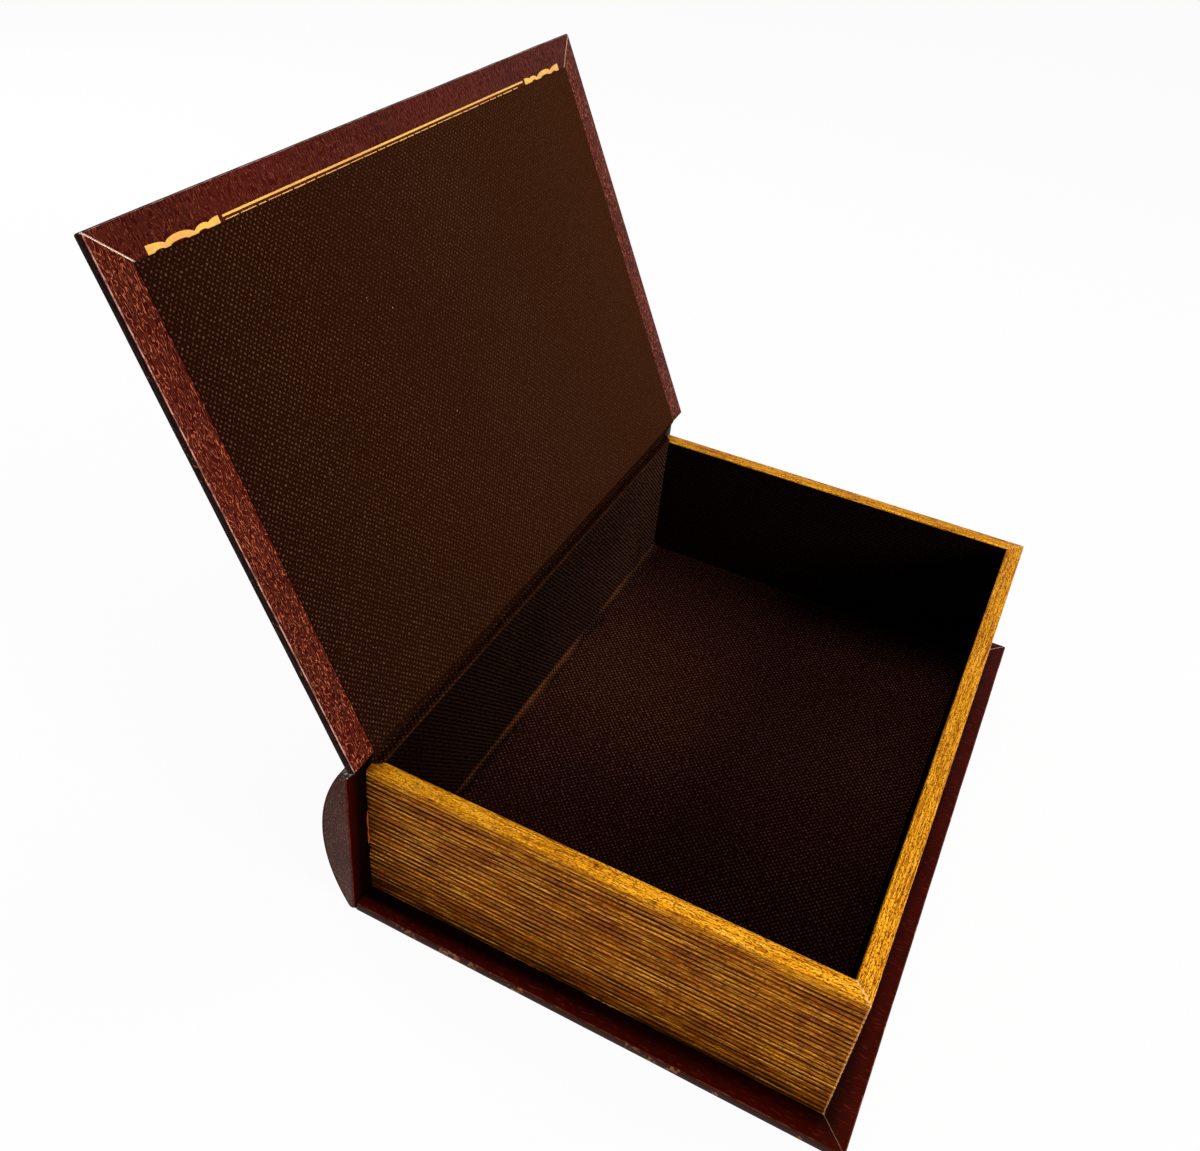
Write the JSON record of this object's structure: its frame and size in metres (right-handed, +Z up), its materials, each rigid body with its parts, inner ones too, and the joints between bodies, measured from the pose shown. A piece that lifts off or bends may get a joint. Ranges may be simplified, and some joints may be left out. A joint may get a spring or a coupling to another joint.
{
  "type": "book box",
  "caption": "Hinged-lid box for papers and keepsakes, shaped as a thick bound book: ribbed gilt walls as page edges, leather covers as base and lid, and a rounded spine behind the leather hinge",
  "frame": {"origin": "Centre of the base cover's underside, the flat face that the box stands on", "axes": "X runs from the spine to the fore-edge, Y from the tail to the head of the book, and Z up. The lid stands open at rest."},
  "size_m": [0.2511, 0.2688, 0.2281],
  "materials": {
    "gilt_wood": "ribbed moulding painted old gold over dark brown, worn along the ribs",
    "bare_wood": "plain planed wood, hidden by leather and lining",
    "board": "grey-buff bookbinder's board",
    "leather": "glossy oxblood leather with a fine grain, rubbed along the edges",
    "lining_cloth": "dark brown cloth with a fine dotted weave and a slight sheen",
    "gold_foil": "gold foil tooled on the leather, slightly worn"
  },
  "bodies": {
    "box": {"tail_wall": "gilt_wood", "head_wall": "gilt_wood", "fore_edge_wall": "gilt_wood", "spine_wall": "bare_wood", "base_board": "board", "base_leather": "leather", "spine_block": "bare_wood", "spine_leather": "leather", "tail_cap": "leather", "head_cap": "leather", "spine_lining": "lining_cloth", "floor_lining": "lining_cloth", "tail_lining": "lining_cloth", "head_lining": "lining_cloth", "fore_lining": "lining_cloth", "hinge_leather": "leather", "hinge_lining": "lining_cloth"},
    "lid": {"lid_board": "board", "lid_leather": "leather", "lid_lining": "lining_cloth", "gilt_border": "gold_foil"}
  },
  "joints": [
    {"name": "lid_hinge", "type": "hinge", "parent": "box", "child": "lid", "pos_m": [-0.08745, 0, 0.06835], "axis": [0, 1, 0], "range_deg": [0, 115.6], "deforming": ["hinge_leather", "hinge_lining"]}
  ]
}
